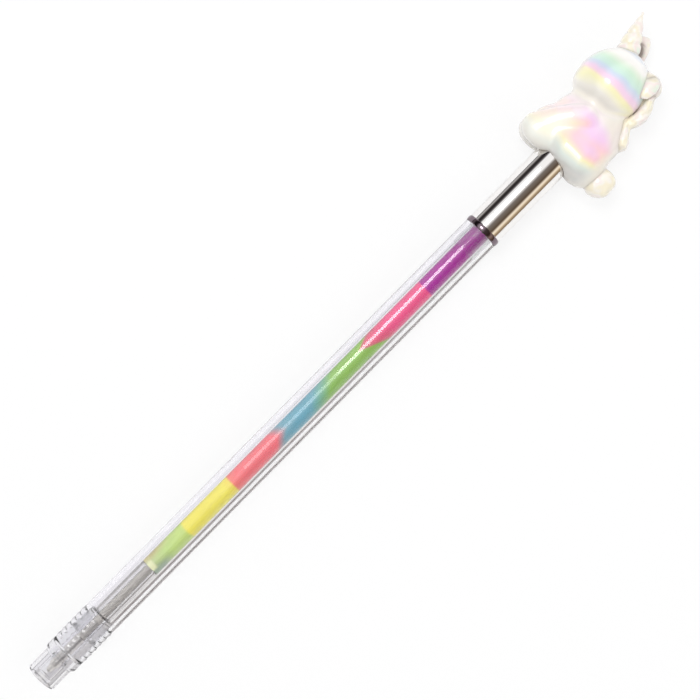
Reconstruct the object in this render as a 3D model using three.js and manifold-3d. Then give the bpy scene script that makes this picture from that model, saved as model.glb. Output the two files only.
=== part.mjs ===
// A slim gel pen: clear barrel and cap, a refill with seven bands of coloured gel, and a pearly
// unicorn glued on a chromed ferrule. Millimetres.
// The pen lies along +X, from the cap's end face at x = 0 to the tip of the unicorn's horn.
// +Z is up from the table, and the unicorn looks along +Y.

import * as THREE from "three";
import { mergeVertices } from "three/addons/utils/BufferGeometryUtils.js";
import Module from "manifold-3d";

const wasm = await Module();
wasm.setup();

// Driving dimensions
const SLIDE_GAP = 0.05; // radial clearance of pieces that slide or push together
const GEL_GAP = 0.03; // film between the gel and the refill's wall

const BARREL = { radius: 4.1, wall: 1.1, length: 115.8, edge: 0.15 };
const NECK = { wall: 0.3, length: 3.9 };

const REFILL = { radius: 2.55, wall: 0.4, tailReach: 5.5 };
const FEED = { radius: 1.0, bore: 0.5, recess: 0.4 };
const HOLDER = {
  noseLength: 7.2,
  noseFrontRadius: 1.75,
  noseBackRadius: 2.1,
  noseEdge: 0.25,
  collarLength: 0.6,
  plugLength: 5.2,
  stemLength: 14.6,
  stemEdge: 0.35,
};

const BALL_RADIUS = 0.5;
const TIP = {
  radius: 1.2,
  reach: 3.8, // from the ball's centre to the nose's front face
  seatLength: 5.6,
  lipRadius: 0.6,
  lipSetback: 0.25, // the lip lies this far in front of the ball's centre
  coneRadius: 0.95,
  coneLength: 1.1,
  stepLength: 0.35,
  channel: 0.25,
  ballGap: 0.06,
};

const CAP = {
  bandRadius: 4.1,
  ringRadius: 4.22,
  grooveRadius: 3.78,
  endRadius: 3.55,
  endWall: 0.9,
  endLength: 5.4,
  endEdge: 0.3,
  slopeLength: 0.6,
  bandLength: 2.7,
  ringCount: 6,
  boreSlope: 1.0,
};
const SEAL = {
  boreRadius: 1.5,
  wall: 0.42,
  floor: 1.2,
  ballClearance: 0.9,
  mouthGap: 0.4,
  webCount: 4,
  webWidth: 0.8,
  webLength: 5.0,
};

const RING = { radius: 4.25, width: 1.3 };
const FERRULE = { radius: 4.05, wall: 0.3, shown: 19.6, inset: 6.6 };
const PLUG = {
  spigotLength: 5.5,
  topSetback: 1.4, // how far the plug's top stays below the figure's base
  tailRoom: 1.0,
  web: 2.0,
  coreWall: 1.1,
  slotCount: 4,
  slotWidth: 0.9,
  slotLength: 3.6,
};

const FIGURE = { height: 37.1, socketSlack: 0.3 };
const HORN = {
  length: 10.35,
  radius: 2.65,
  turns: 4.2,
  ridge: 0.06, // how far the spiral ridge stands out, as a share of the radius
  lean: 23.3, // towards the face, in degrees
};
const EAR = { halfWidth: 3.1, halfDepth: 1.1, hollowWidth: 1.9, hollowDepth: 0.9 };
const FOLDED_EAR = { halfWidth: 1.4, halfDepth: 1.1 };
const MANE = { halfWidth: 1.35, halfDepth: 2.4, curls: 2.2, wave: 0.11 };
const TAIL = { radius: 3.3, squash: 0.94 };

// The gel column from the writing end up: each band's share of the column, and the shape of its upper face.
const GEL_BANDS = [
  { name: "ink_lime", colour: 0xbfe08a, share: 10.2, face: "tilted" },
  { name: "ink_yellow", colour: 0xfdf06a, share: 14.2, face: "flat" },
  { name: "ink_coral", colour: 0xff7a7f, share: 13.9, face: "stepped" },
  { name: "ink_blue", colour: 0x6fb3cf, share: 13.7, face: "slanted" },
  { name: "ink_green", colour: 0x9fce70, share: 13.9, face: "pointed" },
  { name: "ink_pink", colour: 0xff6fa3, share: 16.3, face: "domed" },
  { name: "ink_purple", colour: 0xab3fa0, share: 18.3, face: "flat" },
];
const FOLLOWER_LENGTH = 2.5;

const ROUND_SIDES = 36; // facets round the outer pieces
const SMALL_SIDES = 24; // facets round the small inner ones

// Radii that follow from the clearances
const barrelBore = BARREL.radius - BARREL.wall;
const neckRadius = barrelBore + NECK.wall;
const refillBore = REFILL.radius - REFILL.wall;
const gelRadius = refillBore - GEL_GAP;
const ballSeat = BALL_RADIUS + TIP.ballGap;
const capBore = neckRadius + SLIDE_GAP;
const capEndBore = CAP.endRadius - CAP.endWall;
const ferruleBore = FERRULE.radius - FERRULE.wall;
const plugRadius = ferruleBore - SLIDE_GAP;
const plugBore = REFILL.radius + SLIDE_GAP;

// Stations along the pen, from the cap's end face
const ballAt = SEAL.floor + SEAL.ballClearance + BALL_RADIUS;
const noseFront = ballAt + TIP.reach;
const barrelFront = noseFront + HOLDER.noseLength;
const barrelShoulder = barrelFront + NECK.length;
const barrelRear = barrelShoulder + BARREL.length;
const collarFront = barrelFront - HOLDER.collarLength;
const capRim = barrelShoulder;
const plugSeat = barrelFront + HOLDER.plugLength; // where the refill tube meets the tip holder
const stemTop = plugSeat + HOLDER.stemLength;
const tipTail = noseFront + TIP.seatLength;
const refillTail = barrelRear + REFILL.tailReach;
const gelTop = refillTail - FOLLOWER_LENGTH - PLUG.tailRoom;
const ferruleFoot = barrelRear + RING.width;
const figureBase = ferruleFoot + FERRULE.shown;
const ferruleTop = figureBase + FERRULE.inset;

// Finishes
const finish = (color, roughness, metalness, opacity = 1) =>
  new THREE.MeshStandardMaterial({ color, roughness, metalness, opacity, transparent: opacity < 1 });
const CLEAR = finish(0xf4f5f8, 0.06, 0, 0.3);
const CHROME = finish(0xe4e2df, 0.08, 1);
const STEEL = finish(0xb9b6b2, 0.25, 1);
const PEARL = finish(0xf6f3ee, 0.18, 0.05);
const GREY_FEED = finish(0xbdb7b1, 0.5, 0, 0.8);
const GREASE = finish(0xf3efe2, 0.3, 0, 0.6);

// Geometry helpers

// A closed mesh as a solid: only its positions, merged, without triangles that have no area.
function solidOf(geometry) {
  const bare = geometry.index ? geometry.toNonIndexed() : geometry.clone();
  bare.deleteAttribute("normal");
  bare.deleteAttribute("uv");
  const merged = mergeVertices(bare, 1e-4);
  const corners = merged.index.array;
  const kept = [];
  for (let i = 0; i < corners.length; i += 3) {
    const [a, b, c] = corners.slice(i, i + 3);
    if (a !== b && b !== c && a !== c) kept.push(a, b, c);
  }
  return new wasm.Manifold(
    new wasm.Mesh({
      numProp: 3,
      vertProperties: merged.attributes.position.array,
      triVerts: new Uint32Array(kept),
    }),
  );
}

function geometryOf(solid) {
  const mesh = solid.getMesh();
  const positions = new Float32Array(mesh.numVert * 3);
  for (let i = 0; i < mesh.numVert; i++) {
    positions.set(mesh.vertProperties.subarray(i * mesh.numProp, i * mesh.numProp + 3), i * 3);
  }
  return new THREE.BufferGeometry()
    .setAttribute("position", new THREE.BufferAttribute(positions, 3))
    .setIndex(new THREE.BufferAttribute(mesh.triVerts, 1));
}

const join = (solids) => solids.reduce((whole, next) => whole.add(next));

// Turns a profile of [x, radius] points about the pen's axis. Points run forwards along the outside.
function revolve(profile, sides = ROUND_SIDES) {
  const points = profile.map(([x, radius]) => new THREE.Vector2(radius, x));
  return new THREE.LatheGeometry(points, sides).rotateZ(-Math.PI / 2);
}

// A tube's profile, outside first, closed on itself.
function tubeProfile(from, to, outer, inner) {
  return [
    [from, inner],
    [from, outer],
    [to, outer],
    [to, inner],
    [from, inner],
  ];
}

const rodProfile = (from, to, radius) => [
  [from, 0],
  [from, radius],
  [to, radius],
  [to, 0],
];

// Copies of a geometry turned about the pen's axis, as one solid.
function around(geometry, count) {
  const turnOf = (i) => (2 * Math.PI * i) / count;
  return join([...Array(count).keys()].map((i) => solidOf(geometry.clone().rotateX(turnOf(i)))));
}

// A box between two corners.
function block(low, high) {
  const size = high.map((value, axis) => value - low[axis]);
  const middle = high.map((value, axis) => (value + low[axis]) / 2);
  return new THREE.BoxGeometry(...size).translate(...middle);
}

// A closed skin over rings: ringAt(t), for t from 0 to 1, gives a centre, two half-axes and, where the
// ring isn't an ellipse, how far it swells at an angle. A fan to the ring's centre closes each end.
function skin(ringAt, steps, sides) {
  const positions = [];
  const corners = [];
  for (let i = 0; i <= steps; i++) {
    const { centre, across, along, swell = () => 1 } = ringAt(i / steps);
    for (let j = 0; j < sides; j++) {
      const angle = (2 * Math.PI * j) / sides;
      const point = centre
        .clone()
        .addScaledVector(across, swell(angle) * Math.cos(angle))
        .addScaledVector(along, swell(angle) * Math.sin(angle));
      positions.push(point.x, point.y, point.z);
    }
  }
  for (let i = 0; i < steps; i++) {
    for (let j = 0; j < sides; j++) {
      const next = (j + 1) % sides;
      const [a, b] = [i * sides + j, i * sides + next];
      corners.push(a, b, b + sides, a, b + sides, a + sides);
    }
  }
  const first = ringAt(0).centre;
  const last = ringAt(1).centre;
  const firstPole = positions.length / 3;
  positions.push(first.x, first.y, first.z, last.x, last.y, last.z);
  for (let j = 0; j < sides; j++) {
    const next = (j + 1) % sides;
    corners.push(firstPole, next, j);
    corners.push(firstPole + 1, steps * sides + j, steps * sides + next);
  }
  return new THREE.BufferGeometry()
    .setAttribute("position", new THREE.BufferAttribute(new Float32Array(positions), 3))
    .setIndex(corners);
}

const root = new THREE.Group();
function addPiece(name, geometry, material) {
  const mesh = new THREE.Mesh(geometry, material);
  mesh.name = name;
  root.add(mesh);
}

// Cap: a ringed push-on cap with a vented end and a sealing cup for the ball tip.
function capOutside() {
  const points = [
    [0, CAP.endRadius - CAP.endEdge],
    [CAP.endEdge, CAP.endRadius],
    [CAP.endLength, CAP.endRadius],
    [CAP.endLength + CAP.slopeLength, CAP.bandRadius],
  ];
  const ringsFrom = CAP.endLength + CAP.slopeLength + CAP.bandLength;
  const pitch = (capRim - ringsFrom) / CAP.ringCount;
  const stepsPerRing = 4;
  const height = CAP.ringRadius - CAP.grooveRadius;
  points.push([ringsFrom - CAP.slopeLength / 2, CAP.bandRadius]);
  for (let i = 0; i <= CAP.ringCount * stepsPerRing; i++) {
    const swell = Math.abs(Math.sin((Math.PI * i) / stepsPerRing)) ** 0.8;
    points.push([ringsFrom + (pitch * i) / stepsPerRing, CAP.grooveRadius + height * swell]);
  }
  return points;
}

function capShell() {
  const boreFloor = CAP.endLength + CAP.slopeLength + CAP.bandLength;
  const inside = [
    [capRim, capBore],
    [boreFloor, capBore],
    [boreFloor - CAP.boreSlope, capEndBore],
    [0, capEndBore],
  ];
  const outside = capOutside();
  return solidOf(revolve([...outside, ...inside, outside[0]]));
}

function sealCup() {
  const outer = SEAL.boreRadius + SEAL.wall;
  const mouth = noseFront - SEAL.mouthGap;
  const profile = [
    [0, 0],
    [0, outer],
    [mouth, outer],
    [mouth, SEAL.boreRadius],
    [SEAL.floor, SEAL.boreRadius],
    [SEAL.floor, 0],
  ];
  return solidOf(revolve(profile));
}

function sealWebs() {
  const bite = SEAL.wall / 2; // how far each web runs into the cup and the wall
  const inner = SEAL.boreRadius + bite;
  const outer = capEndBore + bite;
  const half = SEAL.webWidth / 2;
  return around(block([0, -half, inner], [SEAL.webLength, half, outer]), SEAL.webCount);
}

addPiece("cap", geometryOf(join([capShell(), sealCup(), sealWebs()])), CLEAR);

// Barrel: one clear tube, with a thin neck that the cap pushes over.
addPiece(
  "barrel",
  revolve([
    [barrelFront, barrelBore],
    [barrelFront, neckRadius],
    [barrelShoulder, neckRadius],
    [barrelShoulder, BARREL.radius - BARREL.edge],
    [barrelShoulder + BARREL.edge, BARREL.radius],
    [barrelRear - BARREL.edge, BARREL.radius],
    [barrelRear, BARREL.radius - BARREL.edge],
    [barrelRear, barrelBore],
    [barrelFront, barrelBore],
  ]),
  CLEAR,
);

// Writing end: ball, metal tip, and the clear holder that plugs the barrel and carries the refill tube.
addPiece(
  "tip_ball",
  new THREE.SphereGeometry(BALL_RADIUS, 16, 12).translate(ballAt, 0, 0),
  STEEL,
);

function tipProfile() {
  const lip = ballAt - TIP.lipSetback;
  const lipBore = Math.sqrt(ballSeat ** 2 - TIP.lipSetback ** 2);
  const backBore = ballSeat * 0.8;
  const backAt = ballAt + ballSeat * 0.63;
  const floorAt = ballAt + ballSeat;
  const coneEnd = ballAt + TIP.coneLength;
  const stepEnd = coneEnd + TIP.stepLength;
  return [
    [lip, lipBore],
    [lip, TIP.lipRadius],
    [coneEnd, TIP.coneRadius],
    [stepEnd, TIP.radius],
    [tipTail, TIP.radius],
    [tipTail, TIP.channel],
    [floorAt, TIP.channel],
    [backAt, backBore],
    [ballAt, ballSeat],
    [lip, lipBore],
  ];
}
addPiece("tip_body", revolve(tipProfile(), SMALL_SIDES), STEEL);

function holderProfile() {
  const tipSeat = TIP.radius + SLIDE_GAP;
  const feedBore = FEED.radius + SLIDE_GAP;
  const plugOuter = barrelBore - SLIDE_GAP;
  const stemOuter = refillBore - SLIDE_GAP;
  return [
    [noseFront, tipSeat],
    [noseFront, HOLDER.noseFrontRadius - HOLDER.noseEdge],
    [noseFront + HOLDER.noseEdge, HOLDER.noseFrontRadius],
    [collarFront, HOLDER.noseBackRadius],
    [collarFront, neckRadius],
    [barrelFront, neckRadius],
    [barrelFront, plugOuter],
    [plugSeat, plugOuter],
    [plugSeat, stemOuter],
    [stemTop - HOLDER.stemEdge, stemOuter],
    [stemTop, stemOuter - HOLDER.stemEdge],
    [stemTop, feedBore],
    [tipTail, feedBore],
    [tipTail, tipSeat],
    [noseFront, tipSeat],
  ];
}
addPiece("tip_holder", revolve(holderProfile(), SMALL_SIDES * 1.5), CLEAR);
addPiece(
  "feed_tube",
  revolve(tubeProfile(tipTail, stemTop - FEED.recess, FEED.radius, FEED.bore), SMALL_SIDES),
  GREY_FEED,
);

// Refill tube with its gel. Neighbouring bands meet on one shared face.
addPiece(
  "refill_tube",
  revolve(tubeProfile(plugSeat, refillTail, REFILL.radius, refillBore), SMALL_SIDES * 1.5),
  CLEAR,
);

// How far each kind of face stands off its flat place, for y and z as shares of the gel's radius.
const GEL_FACES = {
  flat: () => 0,
  tilted: (y) => 0.35 * y,
  domed: (y, z) => 0.3 * (1 - y * y - z * z),
  slanted: (y) => 2.2 * y,
  stepped: (y) => 1.3 * Math.tanh(3 * (y + 0.25)),
  pointed: (y, z) => -3.6 * (1 - Math.hypot(y - 0.15, z)),
};

function gelBand(from, to, lowerFace, upperFace) {
  const rings = [1 / 3, 2 / 3, 1];
  const positions = [];
  const corners = [];
  for (const [at, face] of [
    [from, lowerFace],
    [to, upperFace],
  ]) {
    positions.push(at + face(0, 0), 0, 0);
    for (const share of rings) {
      for (let j = 0; j < SMALL_SIDES; j++) {
        const angle = (2 * Math.PI * j) / SMALL_SIDES;
        const [y, z] = [share * Math.cos(angle), share * Math.sin(angle)];
        positions.push(at + face(y, z), gelRadius * y, gelRadius * z);
      }
    }
  }
  const perFace = 1 + rings.length * SMALL_SIDES;
  const flip = ([a, b, c]) => [a, c, b];
  for (let j = 0; j < SMALL_SIDES; j++) {
    const next = (j + 1) % SMALL_SIDES;
    const fan = [[0, 1 + j, 1 + next]];
    for (let k = 0; k + 1 < rings.length; k++) {
      const [a, b] = [1 + k * SMALL_SIDES + j, 1 + k * SMALL_SIDES + next];
      fan.push([a, a + SMALL_SIDES, b + SMALL_SIDES], [a, b + SMALL_SIDES, b]);
    }
    for (const triangle of fan) {
      corners.push(...flip(triangle));
      corners.push(...triangle.map((corner) => corner + perFace));
    }
    const rim = 1 + (rings.length - 1) * SMALL_SIDES;
    const [a, b] = [rim + j, rim + next];
    corners.push(a, b, b + perFace, a, b + perFace, a + perFace);
  }
  return new THREE.BufferGeometry()
    .setAttribute("position", new THREE.BufferAttribute(new Float32Array(positions), 3))
    .setIndex(corners);
}

const shareTotal = GEL_BANDS.reduce((sum, band) => sum + band.share, 0);
let gelAt = stemTop;
let faceBelow = GEL_FACES.flat;
for (const band of GEL_BANDS) {
  const bandTop = gelAt + ((gelTop - stemTop) * band.share) / shareTotal;
  const faceAbove = GEL_FACES[band.face];
  addPiece(band.name, gelBand(gelAt, bandTop, faceBelow, faceAbove), finish(band.colour, 0.35, 0));
  gelAt = bandTop;
  faceBelow = faceAbove;
}
addPiece(
  "ink_follower",
  revolve(rodProfile(gelTop, gelTop + FOLLOWER_LENGTH, gelRadius), SMALL_SIDES),
  GREASE,
);

// Topper: a plastic plug with a slotted spigot, the trim ring, the ferrule and the unicorn.
function rearPlug() {
  const spigotRadius = barrelBore - SLIDE_GAP;
  const spigotFrom = barrelRear - PLUG.spigotLength;
  const plugTop = figureBase - PLUG.topSetback;
  const tailFloor = refillTail + PLUG.tailRoom;
  const coreFloor = tailFloor + PLUG.web;
  const coreRadius = plugRadius - PLUG.coreWall;
  const body = solidOf(
    revolve([
      [spigotFrom, plugBore],
      [spigotFrom, spigotRadius],
      [barrelRear, spigotRadius],
      [barrelRear, plugRadius],
      [plugTop, plugRadius],
      [plugTop, coreRadius],
      [coreFloor, coreRadius],
      [coreFloor, 0],
      [tailFloor, 0],
      [tailFloor, plugBore],
      [spigotFrom, plugBore],
    ]),
  );
  const half = PLUG.slotWidth / 2;
  const slot = block(
    [spigotFrom - 1, -half, plugBore / 2],
    [spigotFrom + PLUG.slotLength, half, BARREL.radius],
  );
  return body.subtract(around(slot, PLUG.slotCount));
}
addPiece("rear_plug", geometryOf(rearPlug()), CLEAR);

function ringProfile() {
  const inner = plugRadius + SLIDE_GAP;
  const half = RING.width / 2;
  const swell = RING.radius - FERRULE.radius;
  const points = [[barrelRear, inner]];
  const steps = 6;
  for (let i = 0; i <= steps; i++) {
    const angle = (Math.PI * i) / steps;
    points.push([
      barrelRear + half - half * Math.cos(angle),
      FERRULE.radius + swell * Math.sin(angle),
    ]);
  }
  points.push([barrelRear + RING.width, inner], [barrelRear, inner]);
  return points;
}
addPiece("trim_ring", revolve(ringProfile()), CHROME);
addPiece("ferrule", revolve(tubeProfile(ferruleFoot, ferruleTop, FERRULE.radius, ferruleBore)), CHROME);

// Unicorn: rounded masses melted together for the body and for the head, with the horn, the ears,
// the mane and the tail joined on. Places are given from the middle of its base: up the pen, towards
// its face, and sideways, as they are on a figure 37.1 mm tall, and stretch with its height.
const stretch = FIGURE.height / 37.1;
const drawn = (...values) => values.map((value) => value * stretch);

const melt = (a, b, softness) => {
  const near = Math.max(softness - Math.abs(a - b), 0) / softness;
  return Math.min(a, b) - (near * near * softness) / 4;
};

// Distance from a point to an ellipsoid's surface, close enough near the surface. Towards the pen the
// ellipsoid can have another half-length, below.
function ellipsoid(at, size, below = size[0]) {
  const scaled = (point, power) => {
    const halves = [point[0] < at[0] ? below : size[0], size[1], size[2]];
    return Math.hypot(...point.map((value, axis) => (value - at[axis]) / halves[axis] ** power));
  };
  return (point) => {
    const reach = scaled(point, 1);
    return (reach * (reach - 1)) / Math.max(scaled(point, 2), 1e-9);
  };
}

// Distance to a limb between two balls. Above 1, flat presses it down across the figure.
function limb(from, to, fromRadius, toRadius, flat) {
  const press = new THREE.Vector3(1, 1, flat);
  const start = new THREE.Vector3(...from).multiply(press);
  const run = new THREE.Vector3(...to).multiply(press).sub(start);
  return (point) => {
    const offset = new THREE.Vector3(...point).multiply(press).sub(start);
    const share = THREE.MathUtils.clamp(offset.dot(run) / run.lengthSq(), 0, 1);
    const radius = THREE.MathUtils.lerp(fromRadius, toRadius, share);
    return (offset.addScaledVector(run, -share).length() - radius) / Math.sqrt(flat);
  };
}

// The melted masses' outer skin, found along rays from a point inside.
function meltedSkin(masses, softness, inside, detail) {
  const distance = (point) => {
    const mirrored = [point[0], point[1], Math.abs(point[2])];
    return masses.map((mass) => mass(mirrored)).reduce((a, b) => melt(a, b, softness));
  };
  const ball = new THREE.IcosahedronGeometry(1, detail);
  const corners = ball.attributes.position;
  const ray = new THREE.Vector3();
  for (let i = 0; i < corners.count; i++) {
    ray.fromBufferAttribute(corners, i).normalize();
    let [near, far] = [0, FIGURE.height];
    while (far - near > 1e-4) {
      const middle = (near + far) / 2;
      const point = ray.toArray().map((value, axis) => inside[axis] + value * middle);
      if (distance(point) < 0) near = middle;
      else far = middle;
    }
    corners.setXYZ(i, ...ray.toArray().map((value, axis) => inside[axis] + value * near));
  }
  return solidOf(ball);
}

function figureBody() {
  const belly = ellipsoid(drawn(5.2, 0.1, 0), drawn(8.2, 9.8, 6.2), 5.0 * stretch);
  const chest = ellipsoid(drawn(11.4, 1.0, 0), drawn(5.3, 6.9, 5.2));
  const shoulder = ellipsoid(drawn(10.4, -3.6, 0), drawn(6.2, 5.4, 5.0));
  const nape = ellipsoid(drawn(14.8, -3.2, 0), drawn(3.2, 3.5, 3.6));
  const rump = ellipsoid(drawn(3.7, -5.5, 0), drawn(4.6, 4.3, 5.2), 3.8 * stretch);
  const haunch = ellipsoid(drawn(5.4, -2.6, 2.4), drawn(9.4, 6.2, 4.4), 4.4 * stretch);
  const thigh = limb(drawn(4.5, 0.4, 4.3), drawn(4.5, -4.6, 5.0), ...drawn(3.6, 3.6), 1.5);
  const upperLeg = limb(drawn(11.8, 1.0, 5.0), drawn(8.0, 4.8, 4.4), ...drawn(2.3, 2.6), 1.6);
  const lowerLeg = limb(drawn(8.0, 4.8, 4.4), drawn(3.4, 7.2, 3.6), ...drawn(2.6, 2.7), 1.6);
  const hoof = ellipsoid(drawn(2.9, 6.6, 3.4), drawn(3.6, 3.9, 3.0), 3.0 * stretch);
  const masses = [belly, chest, shoulder, rump, haunch, thigh, nape, upperLeg, lowerLeg, hoof];
  return meltedSkin(masses, 1.3 * stretch, drawn(6.4, 0.2, 0), 7);
}

function figureHead() {
  const skull = ellipsoid(drawn(20.3, 2.3, 0), drawn(9.3, 7.7, 7.5), 6.2 * stretch);
  const chin = ellipsoid(drawn(17.6, 4.4, 0), drawn(3.4, 4.6, 4.6));
  return meltedSkin([skull, chin], 1.6 * stretch, drawn(21.0, 2.6, 0), 7);
}

// A rounded ball with three half-axes.
function lobe(at, size) {
  return solidOf(new THREE.IcosahedronGeometry(1, 3).scale(...size).translate(...at));
}

// A tapering piece along a line in the figure's side plane: widthAt gives its half-width and
// depthAt its half-depth sideways, for t from 0 at the root to 1 at the end.
function strand(points, { widthAt, depthAt, swellAt, steps, sides }) {
  const line = new THREE.CatmullRomCurve3(points.map((point) => new THREE.Vector3(...point)));
  const ringAt = (t) => {
    const run = line.getTangent(t);
    const across = new THREE.Vector3(-run.y, run.x, 0).normalize();
    const along = run.clone().cross(across);
    return {
      centre: line.getPoint(t),
      across: across.multiplyScalar(widthAt(t)),
      along: along.multiplyScalar(depthAt(t)),
      swell: swellAt?.(t),
    };
  };
  return solidOf(skin(ringAt, steps, sides));
}

// Full width along the piece, rounded off over the last share of it.
const roundedEnd = (t, share) => {
  const past = Math.max(t - (1 - share), 0) / share;
  return Math.sqrt(Math.max(1 - past * past, 0.002));
};

function horn() {
  const radiusAt = (t) => HORN.radius * Math.max(1 - t ** 1.9, 0.03);
  const lean = THREE.MathUtils.degToRad(HORN.lean);
  const rise = new THREE.Vector3(Math.cos(lean), Math.sin(lean), 0).multiplyScalar(HORN.length);
  const root = new THREE.Vector3(...drawn(27.6, 4.3, 0));
  const alongAt = (t) => rise.clone().multiplyScalar(t).add(root).toArray();
  return strand([alongAt(0), alongAt(0.5), alongAt(1)], {
    widthAt: radiusAt,
    depthAt: radiusAt,
    swellAt: (t) => (angle) => 1 + HORN.ridge * Math.cos(angle - 2 * Math.PI * HORN.turns * t),
    steps: 25,
    sides: 14,
  });
}

// The ear on the far side, with its inside hollowed out.
function uprightEar() {
  const taper = (t) => Math.max((1 - t ** 3) ** 0.8, 0.2);
  const blade = strand([drawn(27.6, 3.7, -2.6), drawn(31.4, 3.9, -3.7), drawn(35.0, 3.9, -4.7)], {
    widthAt: (t) => EAR.halfWidth * taper(t),
    depthAt: (t) => EAR.halfDepth * taper(t),
    steps: 10,
    sides: 14,
  });
  const hollow = strand([drawn(28.0, 3.5, -1.3), drawn(30.6, 3.6, -2.3), drawn(32.8, 3.6, -3.1)], {
    widthAt: (t) => EAR.hollowWidth * taper(t),
    depthAt: (t) => EAR.hollowDepth * taper(t),
    steps: 7,
    sides: 12,
  });
  return blade.subtract(hollow);
}

// The ear on the near side, laid over beside the head.
function foldedEar() {
  const leafAt = (t) => Math.sqrt(Math.max(Math.sin(Math.PI * (0.12 + 0.84 * t)), 0.02));
  return strand([drawn(28.0, -3.2, 2.4), drawn(26.2, -3.9, 3.5), drawn(23.2, -4.3, 4.1)], {
    widthAt: (t) => FOLDED_EAR.halfWidth * leafAt(t),
    depthAt: (t) => FOLDED_EAR.halfDepth * leafAt(t),
    steps: 9,
    sides: 10,
  });
}

function mane() {
  const waveAt = (t) => 1 + MANE.wave * Math.cos(2 * Math.PI * (MANE.curls * t + 0.1));
  const points = [
    drawn(28.0, -3.4, 0.3),
    drawn(26.4, -5.0, 0.4),
    drawn(24.4, -5.6, 0.4),
    drawn(22.4, -6.6, 0.4),
    drawn(20.2, -6.9, 0.3),
    drawn(18.6, -6.5, 0.2),
    drawn(17.0, -6.1, 0.2),
    drawn(15.2, -6.9, 0.2),
    drawn(13.4, -8.1, 0.2),
    drawn(12.3, -8.5, 0.2),
  ];
  return strand(points, {
    widthAt: (t) => MANE.halfWidth * waveAt(t) * roundedEnd(t, 0.1),
    depthAt: (t) => MANE.halfDepth * waveAt(t) * roundedEnd(t, 0.1),
    steps: 25,
    sides: 12,
  });
}

function socket() {
  const bore = FERRULE.radius + SLIDE_GAP;
  const below = figureBase - FIGURE.height;
  return solidOf(revolve(rodProfile(below, ferruleTop + FIGURE.socketSlack, bore)));
}

function unicorn() {
  const crown = lobe(drawn(26.4, -3.4, 0.9), drawn(2.7, 3.2, 3.0));
  const tail = lobe(drawn(4.4, -10.6, 0), [TAIL.radius, TAIL.radius, TAIL.radius * TAIL.squash]);
  const pieces = [figureBody(), figureHead(), horn(), uprightEar(), crown, foldedEar(), mane(), tail];
  return solidOf(geometryOf(join(pieces)).translate(figureBase, 0, 0)).subtract(socket());
}
addPiece("unicorn", geometryOf(unicorn()), PEARL);

export default root;
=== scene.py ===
# Looks of the slim gel pen: clear plastics, banded gel, chrome and a pearly unicorn.
# Sizes are in millimetres here and become metres in the meshes. The pen lies along +X.
import math

import bmesh
import bpy
import numpy as np
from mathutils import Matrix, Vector


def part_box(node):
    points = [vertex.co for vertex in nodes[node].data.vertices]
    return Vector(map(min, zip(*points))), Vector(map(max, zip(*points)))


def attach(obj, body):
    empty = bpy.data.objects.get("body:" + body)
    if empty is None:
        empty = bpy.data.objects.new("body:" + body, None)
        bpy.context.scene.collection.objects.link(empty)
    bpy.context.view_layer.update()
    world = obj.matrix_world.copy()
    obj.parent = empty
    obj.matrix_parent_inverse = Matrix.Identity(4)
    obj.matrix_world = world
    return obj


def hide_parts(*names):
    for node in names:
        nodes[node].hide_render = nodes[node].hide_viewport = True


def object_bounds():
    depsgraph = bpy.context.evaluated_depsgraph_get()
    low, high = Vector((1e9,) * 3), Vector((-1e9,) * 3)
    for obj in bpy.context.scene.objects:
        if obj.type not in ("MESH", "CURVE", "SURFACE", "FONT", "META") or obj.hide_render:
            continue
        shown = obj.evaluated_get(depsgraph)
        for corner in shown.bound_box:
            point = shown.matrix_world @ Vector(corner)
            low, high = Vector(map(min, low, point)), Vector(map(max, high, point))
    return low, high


MM = 0.001

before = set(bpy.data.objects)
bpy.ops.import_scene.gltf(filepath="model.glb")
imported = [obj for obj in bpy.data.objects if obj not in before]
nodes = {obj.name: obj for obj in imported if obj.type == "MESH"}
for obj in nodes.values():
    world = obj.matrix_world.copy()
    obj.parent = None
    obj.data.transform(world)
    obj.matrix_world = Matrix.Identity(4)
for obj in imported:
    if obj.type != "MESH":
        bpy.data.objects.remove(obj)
cad_low, cad_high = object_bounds()
scene = bpy.context.scene

# Camera

PHOTO_CENTRE = (96.0, 2.24)  # the pen's x and y at the middle of the photograph
PHOTO_WIDTH = 149.3  # how much of the pen's plane the photograph spans
CAMERA_ROLL = -45.36  # degrees from the photograph's level to the pen
LENS = 100.0
SENSOR = 36.0


def make_camera():
    data = bpy.data.cameras.new("camera")
    data.lens = LENS
    data.sensor_width = SENSOR
    data.clip_start = 0.01
    camera = bpy.data.objects.new("camera", data)
    scene.collection.objects.link(camera)
    distance = PHOTO_WIDTH * MM * LENS / SENSOR
    camera.location = (PHOTO_CENTRE[0] * MM, PHOTO_CENTRE[1] * MM, distance)
    camera.rotation_euler = (0, 0, math.radians(CAMERA_ROLL))
    scene.camera = camera


make_camera()
scene.view_settings.view_transform = "Standard"


# Shader helpers


def new_material(name):
    material = bpy.data.materials.new(name)
    material.use_nodes = True
    tree = material.node_tree
    tree.nodes.clear()
    out = tree.nodes.new("ShaderNodeOutputMaterial")
    return material, tree, out


def add(tree, kind, **settings):
    node = tree.nodes.new(kind)
    inputs = settings.pop("inputs", {})
    for key, value in settings.items():
        setattr(node, key, value)
    for key, value in inputs.items():
        node.inputs[key].default_value = value
    return node


def linear(red, green, blue):
    """sRGB bytes as a linear colour."""
    def one(value):
        value /= 255
        return value / 12.92 if value <= 0.04045 else ((value + 0.055) / 1.055) ** 2.4
    return (one(red), one(green), one(blue), 1)


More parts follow.
